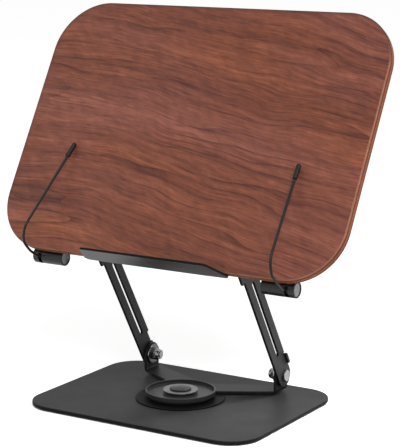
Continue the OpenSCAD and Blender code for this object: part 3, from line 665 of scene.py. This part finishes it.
# page clips: the wire leaves the barrel, passes under the panel, bows forward and runs to its sleeve;
# places are in the panel's frame, in mm, and each bend is a share of the bow, the reach and the toe
clipWire = {"foot": 124.1, "axis": (17.2, -1.3), "footAngle": 20, "footSteps": (2.9, 4.5, 8, 11.5),
            "under": [(1, -4.9), (-5, -4.4)], "toe": 10.7, "bow": 23.2, "reach": 100, "tip": -2.3,
            "radius": 1.15, "sleeve": 15, "tipRadius": 2, "intoSleeve": 1, "steps": 8, "round": 4,
            "bends": [(0.62, -0.017, 0.03), (0.80, 0.012, 0.05), (0.92, 0.049, 0.09), (1.00, 0.101, 0.14),
                      (1.00, 0.147, 0.18)], "run": (0.12, 0.28, 0.55)}


def footPoint(distance):
    angle = math.radians(clipWire["footAngle"])
    return Vector((clipWire["foot"], clipWire["axis"][0] - distance * math.cos(angle),
                   clipWire["axis"][1] - distance * math.sin(angle)))


# the bow in front of the panel, and the straight run from its end to the tip
c = clipWire
wireBow = [Vector((c["foot"] - toe * c["toe"], c["tip"] * (1 - out) - out * c["bow"], rise * c["reach"]))
           for out, rise, toe in c["bends"]]
wireTip = Vector((c["foot"] - c["toe"], c["tip"], c["reach"] - c["tipRadius"]))
sleeveLine = (wireTip - wireBow[-1]).normalized()


def sleevePoint(distance):
    return wireTip + (clipWire["tipRadius"] - distance) * sleeveLine


# a smooth line through the wire's bends
def wirePath():
    c = clipWire
    sleeveFoot = sleevePoint(c["sleeve"])
    bends = [footPoint(distance) for distance in c["footSteps"]]
    bends += [Vector((c["foot"], y, z)) for y, z in c["under"]] + wireBow
    bends += [wireBow[-1].lerp(sleeveFoot, share) for share in c["run"]] + [sleeveFoot]
    path = []
    for i in range(len(bends) - 1):
        before, start = bends[max(i - 1, 0)], bends[i]
        end, after = bends[i + 1], bends[min(i + 2, len(bends) - 1)]
        for step in range(c["steps"]):
            s = step / c["steps"]
            path.append(0.5 * (2 * start + (end - before) * s
                               + (2 * before - 5 * start + 4 * end - after) * s * s
                               + (3 * start - before - 3 * end + after) * s ** 3))
    return path + [bends[-1], sleevePoint(c["intoSleeve"])]


# a curve with a round section, made a mesh where it lies
def wireMesh(path, radius):
    curve = bpy.data.curves.new("wire", "CURVE")
    curve.dimensions = "3D"
    curve.bevel_depth = radius * mm
    curve.bevel_resolution = clipWire["round"]
    curve.use_fill_caps = True
    spline = curve.splines.new("POLY")
    spline.points.add(len(path) - 1)
    for point, place in zip(spline.points, path):
        point.co = (*(place * mm), 1)
    holder = bpy.data.objects.new("wire", curve)
    scene.collection.objects.link(holder)
    bpy.context.view_layer.update()
    mesh = bpy.data.meshes.new_from_object(holder.evaluated_get(bpy.context.evaluated_depsgraph_get()))
    bm = bmesh.new()
    bm.from_mesh(mesh)
    bpy.data.objects.remove(holder)
    bpy.data.curves.remove(curve)
    bpy.data.meshes.remove(mesh)
    bmesh.ops.remove_doubles(bm, verts=bm.verts[:], dist=meshCare["weld"])
    return bm


clipSleeve = {"outer": 2.0, "bore": 1.2, "boreDepth": 3, "length": 15, "endSteps": 6, "steps": 32,
              "edge": 0.25, "edgeSteps": 2, "sharp": 40}


def sleeveProfile():
    c = clipSleeve
    straight = c["length"] - c["outer"]
    angles = [math.pi / 2 * step / c["endSteps"] for step in range(c["endSteps"])]
    end = [(c["outer"] * math.cos(angle), straight + c["outer"] * math.sin(angle)) for angle in angles]
    bore = [(0, c["boreDepth"]), (c["bore"], c["boreDepth"]), (c["bore"], 0), (c["outer"], 0)]
    return bore + end + [(0, c["length"])]


clipBarrel = {"edge": 0.35}
# each step of the dish is a lip and how far it sinks, and past the wall's radius the pin is dark
clipPin = {"edge": 0.25, "flat": 0.999, "dish": [(0.2, 0.0), (0.1, 0.9), (1.5, 0.16), (1.5, 0.06)], "wall": 5.3}
clipHub = {"edge": 0.2}
for side, sign in (("left", -1), ("right", 1)):
    cap = side.capitalize()
    body = side + "_clip"
    ontoPanel = Matrix.Diagonal((sign, 1, 1, 1)) @ panelPlace
    bm = wireMesh(wirePath(), clipWire["radius"])
    bmesh.ops.transform(bm, matrix=ontoPanel, verts=bm.verts[:])
    bmesh.ops.recalc_face_normals(bm, faces=bm.faces[:])
    finishPiece("clipWire" + cap, bm, wireCoat, body, "wire_coat", "clip_wire_" + side)

    bm = lathe(sleeveProfile(), clipSleeve["steps"])
    softEdges(bm, clipSleeve["edge"], clipSleeve["edgeSteps"], clipSleeve["sharp"])
    lie = sleeveLine.to_track_quat("Z", "Y").to_matrix().to_4x4()
    place = Matrix.Translation(sleevePoint(clipSleeve["length"]) * mm)
    bmesh.ops.transform(bm, matrix=ontoPanel @ place @ lie, verts=bm.verts[:])
    bmesh.ops.recalc_face_normals(bm, faces=bm.faces[:])
    finishPiece("clipSleeve" + cap, bm, sleeveRubber, body, "sleeve_rubber", "clip_sleeve_" + side)

    bm = softSolid("clip_housing_" + side, clipBarrel["edge"])
    finishPiece("clipBarrel" + cap, bm, barrelCoat, "reading_panel", "barrel_coat", "clip_housing_" + side)

    # the two end plates are sunk in the barrel's ends, behind a dark wall
    bm = softSolid("clip_pin_" + side, clipPin["edge"])
    ends = [face for face in bm.faces if abs(face.normal.x) > clipPin["flat"]]
    ends.sort(key=lambda face: face.calc_center_median().x)
    for plate in (ends[0], ends[-1]):
        for lip, sink in clipPin["dish"]:
            bmesh.ops.inset_individual(bm, faces=[plate], thickness=lip * mm, depth=-sink * mm,
                                       use_even_offset=True)
    piece = finishPiece("clipPin" + cap, bm, endPlate, "reading_panel", "zinc", "clip_pin_" + side)
    axis = Vector(joints["clip_" + side + "_open"]["pos_m"])
    faceFinish(piece, barrelCoat, lambda face: (face.center - axis).yz.length > clipPin["wall"] * mm)

    bm = softSolid("clip_hub_" + side, clipHub["edge"])
    finishPiece("clipHub" + cap, bm, screwBlack, body, "screw_black", "clip_hub_" + side)

    spring = frame["nodes"]["clip_spring_" + side]
    spring.data.materials.clear()
    spring.data.materials.append(springSteel)
print("book stand: page clips made")

print("book stand: done")
